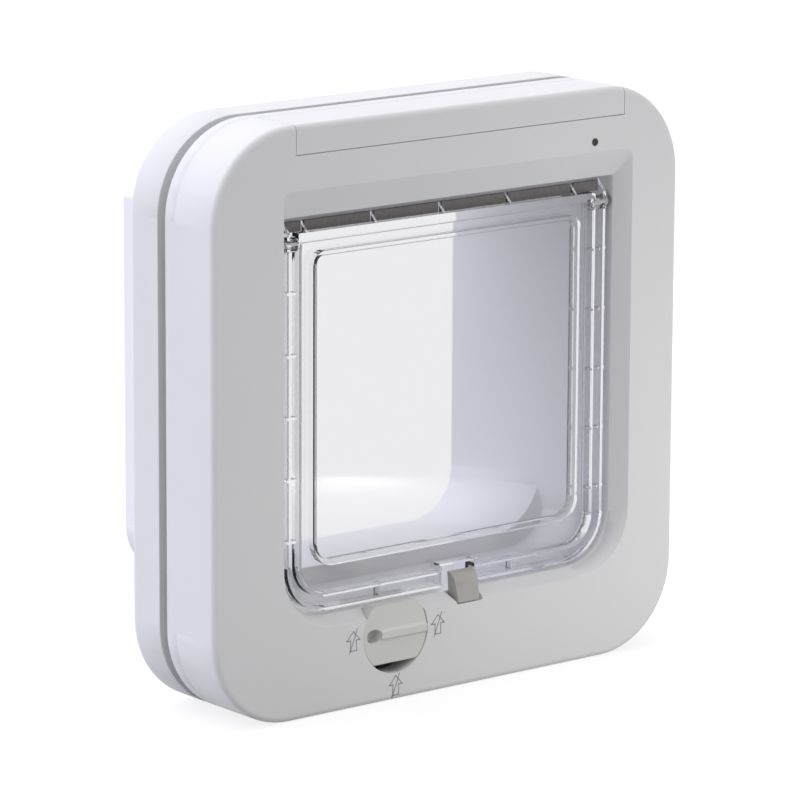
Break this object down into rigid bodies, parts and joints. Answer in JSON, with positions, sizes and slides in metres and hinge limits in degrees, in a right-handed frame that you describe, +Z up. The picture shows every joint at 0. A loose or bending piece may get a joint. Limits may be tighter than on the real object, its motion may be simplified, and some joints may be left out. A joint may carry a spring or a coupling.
{
  "type": "cat flap",
  "caption": "Square rounded cat flap for a door, with a clear top-hung flap, a latch tab, a round four-way lock knob, a battery bay above and a tunnel behind.",
  "frame": {"origin": "middle of the underside, half way between the knob's grip and the tunnel's far end", "axes": "+X to the right seen from the room, +Y out of the house along the tunnel, +Z up"},
  "size_m": [0.21, 0.0976, 0.21],
  "materials": {
    "grey_face": "fine satin moulded ABS",
    "white_shell": "smooth white moulded ABS",
    "tunnel_white": "smooth white moulded ABS",
    "knob_grey": "satin moulded plastic",
    "latch_grey": "warm grey acetal",
    "clear_flap": "clear moulded polycarbonate",
    "steel_pin": "ground steel",
    "screw_steel": "bright plated steel",
    "seal_foam": "closed-cell foam",
    "pile_strip": "short brown-grey pile",
    "inner_plastic": "plain moulded plastic",
    "switch_black": "black moulded plastic",
    "button_black": "black moulded plastic",
    "contact_metal": "nickel plate",
    "cell_sleeve": "plain shrink sleeve",
    "copper_winding": "enamelled copper",
    "board_green": "circuit board lacquer",
    "led_dark": "dark tinted lens",
    "motor_steel": "plated can"
  },
  "bodies": {
    "housing": {"front_bezel": "grey_face", "back_housing": "white_shell", "tunnel": "tunnel_white", "battery_tray": "inner_plastic", "battery_contacts": "contact_metal", "battery_springs": "contact_metal", "battery_cell_1": "cell_sleeve", "battery_cell_2": "cell_sleeve", "battery_cell_3": "cell_sleeve", "battery_cell_4": "cell_sleeve", "antenna_coil": "copper_winding", "circuit_board": "board_green", "control_chip": "switch_black", "switch_board": "board_green", "memory_switch": "switch_black", "led_lens": "led_dark", "latch_bracket": "inner_plastic", "latch_motor": "motor_steel", "hinge_pin_left": "steel_pin", "hinge_pin_right": "steel_pin", "inner_seal": "seal_foam", "outer_seal": "seal_foam", "exterior_frame": "white_shell", "fixing_screws": "screw_steel", "screw_caps": "white_shell", "housing_screws": "screw_steel", "board_screws": "screw_steel", "bracket_screws": "screw_steel"},
    "flap": {"flap": "clear_flap", "draught_strip": "pile_strip"},
    "battery_cover": {"battery_cover": "grey_face"},
    "memory_button": {"memory_button": "button_black"},
    "motor_crank": {"motor_crank": "inner_plastic"},
    "latch_slider": {"latch_slider": "latch_grey"},
    "knob": {"lock_knob": "knob_grey", "knob_shaft": "knob_grey", "knob_clip": "steel_pin", "rear_lock_cam": "knob_grey"}
  },
  "joints": [
    {"name": "flap_swing", "type": "hinge", "parent": "housing", "child": "flap", "pos_m": [0.0042, -0.0388, 0.167], "axis": [1, 0, 0], "range_deg": [-80, 80]},
    {"name": "battery_cover_lift", "type": "slide", "parent": "housing", "child": "battery_cover", "axis": [0, 0, 1], "range_m": [0, 0.03]},
    {"name": "memory_button_press", "type": "slide", "parent": "housing", "child": "memory_button", "axis": [0, 0, -1], "range_m": [0, 0.0015], "stiffness_N_per_m": 800},
    {"name": "motor_crank_turn", "type": "hinge", "parent": "housing", "child": "motor_crank", "pos_m": [0.0187, -0.0402, 0.015], "axis": [0, 1, 0], "range_deg": [0, 26.5]},
    {"name": "latch_lift", "type": "slide", "parent": "housing", "child": "latch_slider", "axis": [0, 0, 1], "range_m": [0, 0.0045]},
    {"name": "knob_turn", "type": "hinge", "parent": "housing", "child": "knob", "pos_m": [-0.0251, -0.0452, 0.0246], "axis": [0, -1, 0], "range_deg": [-90, 180]}
  ],
  "couplings": [
    {"joint": "motor_crank_turn", "follows": "latch_lift", "rad_per_m": 100.87}
  ]
}
